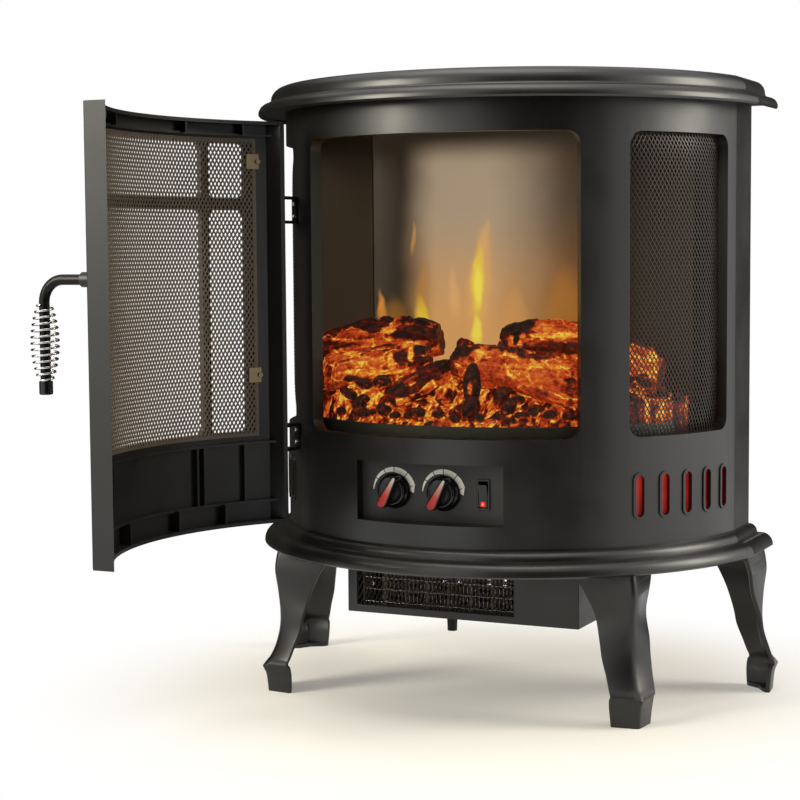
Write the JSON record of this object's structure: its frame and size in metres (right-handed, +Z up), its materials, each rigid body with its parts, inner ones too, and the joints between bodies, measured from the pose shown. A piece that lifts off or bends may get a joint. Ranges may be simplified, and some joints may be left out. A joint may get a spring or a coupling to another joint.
{
  "type": "electric stove heater",
  "caption": "Free-standing electric flame-effect stove heater with a half-round front, cabriole legs, a hinged meshed door, lit logs and a fan heater below.",
  "frame": {"origin": "on the floor under the middle of the casing's width and depth", "axes": "+X to the right as seen from the front, +Y to the flat back, +Z up; the curved front faces -Y"},
  "size_m": [0.5754, 0.599, 0.637],
  "materials": {
    "casing_paint": "satin black paint",
    "moulded_black": "satin black paint",
    "leg_casting": "satin black paint on a hollow casting",
    "door_casting": "satin black paint",
    "expanded_metal": "dark brown-black paint on expanded metal",
    "door_expanded_metal": "dark brown-black paint on expanded metal",
    "pane": "clear",
    "slot_film": "clear red film",
    "panel_plastic": "black, semi-gloss",
    "pointer_red": "red insert with a white tip",
    "control_body": "matt",
    "firebox_sheet": "matt dark brown",
    "screen": "frosted, lit from behind",
    "ember_resin": "cast resin with painted embers, lit from below",
    "log_resin": "cast resin with painted bark, lit from inside",
    "bright_sheet": "bright sheet",
    "motor_steel": "plated sheet",
    "lamp_glass": "frosted lamp",
    "heater_sheet": "satin black paint",
    "grille_wire": "bare expanded metal",
    "mica": "mica board",
    "element_wire": "resistance wire",
    "black_steel": "black",
    "chrome_pin": "bright nickel plate",
    "cap_plastic": "black",
    "rubber": "matt",
    "zinc": "zinc plate"
  },
  "bodies": {
    "casing": {"top_plate": "moulded_black", "base_plate": "moulded_black", "front_casing": "casing_paint", "rear_case": "casing_paint", "service_cover": "casing_paint", "cord_gland": "rubber", "window_pane": "pane", "side_mesh_left": "expanded_metal", "side_mesh_right": "expanded_metal", "slot_films": "slot_film", "control_panel": "panel_plastic", "dimmer": "control_body", "thermostat": "control_body", "switch_bezel": "panel_plastic", "firebox_floor": "firebox_sheet", "firebox_back": "firebox_sheet", "firebox_roof": "firebox_sheet", "flame_screen": "screen", "flame_reflector": "bright_sheet", "ember_bed": "ember_resin", "log_left_back": "log_resin", "log_left_front": "log_resin", "log_centre": "log_resin", "log_right_upper": "log_resin", "log_right_lower": "log_resin", "log_stub": "log_resin", "coals": "ember_resin", "flicker_bracket": "bright_sheet", "flicker_motor": "motor_steel", "lamp_bar": "bright_sheet", "lamps": "lamp_glass", "heater_housing": "heater_sheet", "heater_grille": "grille_wire", "element_frame": "mica", "heating_element": "element_wire", "blower_motor": "motor_steel", "thermal_cutout": "mica", "leg_front_left": "leg_casting", "leg_front_right": "leg_casting", "leg_back_left": "leg_casting", "leg_back_right": "leg_casting", "hinge_brackets": "black_steel", "hinge_pins": "chrome_pin", "casing_screws": "zinc", "leg_bolts": "zinc"},
    "door": {"door_frame": "door_casting", "door_mesh": "door_expanded_metal", "door_clips": "zinc", "door_magnets": "zinc", "hinge_leaves": "black_steel", "handle_rod": "black_steel", "handle_spring": "chrome_pin", "handle_cap": "cap_plastic"},
    "flame_knob": {"knob_flame": "panel_plastic", "knob_flame_pointer": "pointer_red"},
    "heat_knob": {"knob_heat": "panel_plastic", "knob_heat_pointer": "pointer_red"},
    "rocker": {"switch_rocker": "panel_plastic"},
    "flicker": {"flicker_rotor": "bright_sheet"},
    "blower": {"blower_wheel": "motor_steel"}
  },
  "joints": [
    {"name": "door_hinge", "type": "hinge", "parent": "casing", "child": "door", "pos_m": [-0.18, -0.1057, 0.387], "axis": [0, 0, 1], "range_deg": [-15, 89]},
    {"name": "flame_knob_turn", "type": "hinge", "parent": "casing", "child": "flame_knob", "pos_m": [-0.043, -0.118, 0.2239], "axis": [0, 1, 0], "range_deg": [-170, 100]},
    {"name": "heat_knob_turn", "type": "hinge", "parent": "casing", "child": "heat_knob", "pos_m": [0.011, -0.118, 0.2239], "axis": [0, 1, 0], "range_deg": [-170, 100]},
    {"name": "rocker_tilt", "type": "hinge", "parent": "casing", "child": "rocker", "pos_m": [0.0535, -0.113, 0.2239], "axis": [1, 0, 0], "range_deg": [-14, 0]},
    {"name": "flicker_spin", "type": "hinge", "parent": "casing", "child": "flicker", "pos_m": [0, 0.091, 0.29], "axis": [1, 0, 0], "continuous": true},
    {"name": "blower_spin", "type": "hinge", "parent": "casing", "child": "blower", "pos_m": [0, 0.022, 0.114], "axis": [1, 0, 0], "continuous": true}
  ]
}
